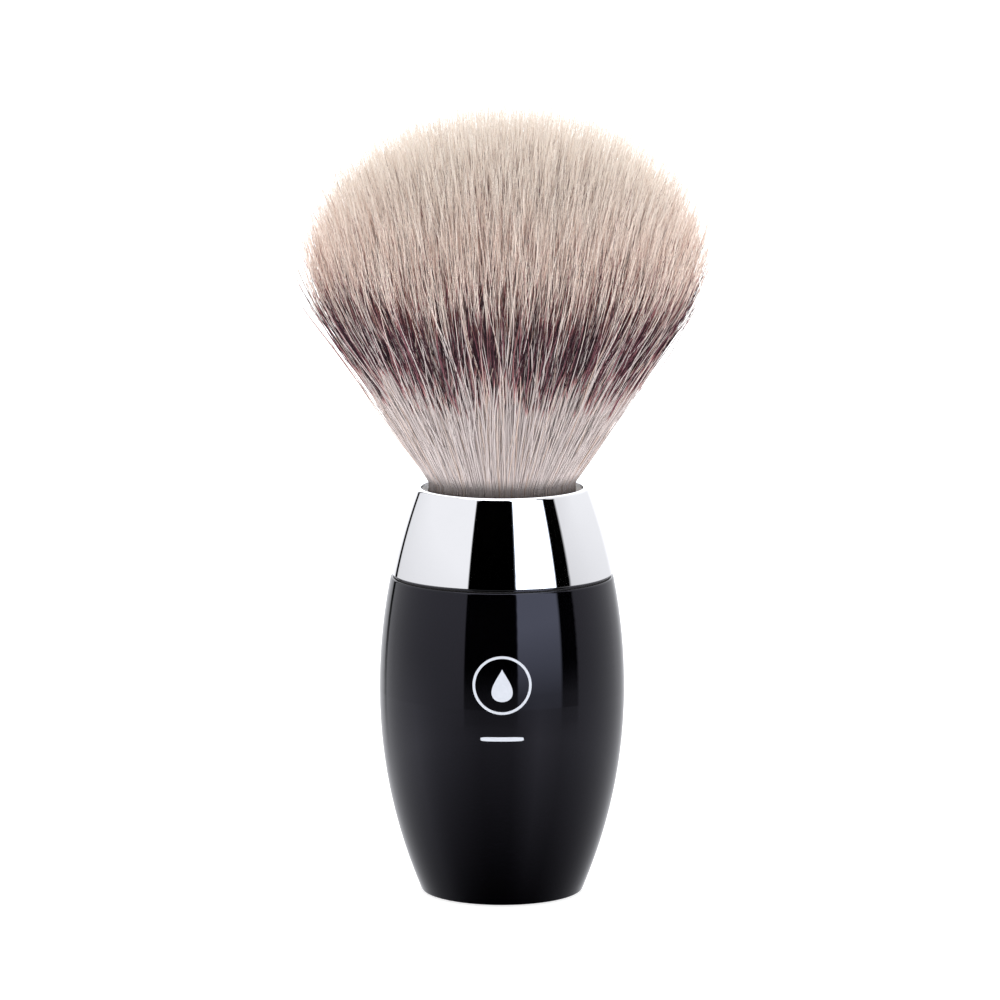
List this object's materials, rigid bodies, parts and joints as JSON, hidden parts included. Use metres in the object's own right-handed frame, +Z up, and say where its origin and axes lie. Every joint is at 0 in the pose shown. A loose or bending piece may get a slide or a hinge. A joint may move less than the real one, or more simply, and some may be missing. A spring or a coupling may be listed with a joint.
{
  "type": "shaving brush",
  "caption": "Shaving brush with a flared round knot of synthetic fibres, a mirror-finish metal collar and a barrel-shaped gloss handle that the head screws into.",
  "frame": {"origin": "centre of the flat foot, on the surface the brush stands on", "axes": "+Z up along the handle to the tips of the fibres, -Y towards the front, where the printed emblem is"},
  "size_m": [0.056, 0.056, 0.112],
  "materials": {
    "handle_resin": "polished black cast resin",
    "insert_brass": "machined",
    "seal_rubber": "matte",
    "collar_chrome": "mirror-polished chrome plate on brass",
    "stud_steel": "machined",
    "cup_plastic": "satin ivory plastic",
    "potting_resin": "cured amber resin",
    "binding_cord": "waxed twisted thread",
    "fibre": "fine synthetic fibres with a dark band and cream tips"
  },
  "bodies": {
    "handle": {"handle_body": "handle_resin", "thread_insert": "insert_brass"},
    "seal": {"seal_washer": "seal_rubber"},
    "head": {"collar": "collar_chrome", "stud": "stud_steel", "lock_washer": "stud_steel", "clamp_nut": "stud_steel", "knot_cup": "cup_plastic", "knot_resin": "potting_resin", "binding_thread": "binding_cord", "fibre_root": "fibre"},
    "tuft": {"fibre_tuft": "fibre"}
  },
  "joints": [
    {"name": "head_rise", "type": "slide", "parent": "handle", "child": "seal", "axis": [0, 0, 1], "range_m": [0, 0.009]},
    {"name": "head_turn", "type": "hinge", "parent": "seal", "child": "head", "pos_m": [0, 0, 0.045], "axis": [0, 0, 1], "range_deg": [0, 2160]},
    {"name": "tuft_bend", "type": "hinge", "parent": "head", "child": "tuft", "pos_m": [0, 0, 0.06], "axis": [0, 1, 0], "range_deg": [-25, 25], "stiffness_Nm_per_rad": 0.26}
  ],
  "couplings": [
    {"joint": "head_rise", "follows": "head_turn", "m_per_rad": 0.00023873}
  ]
}
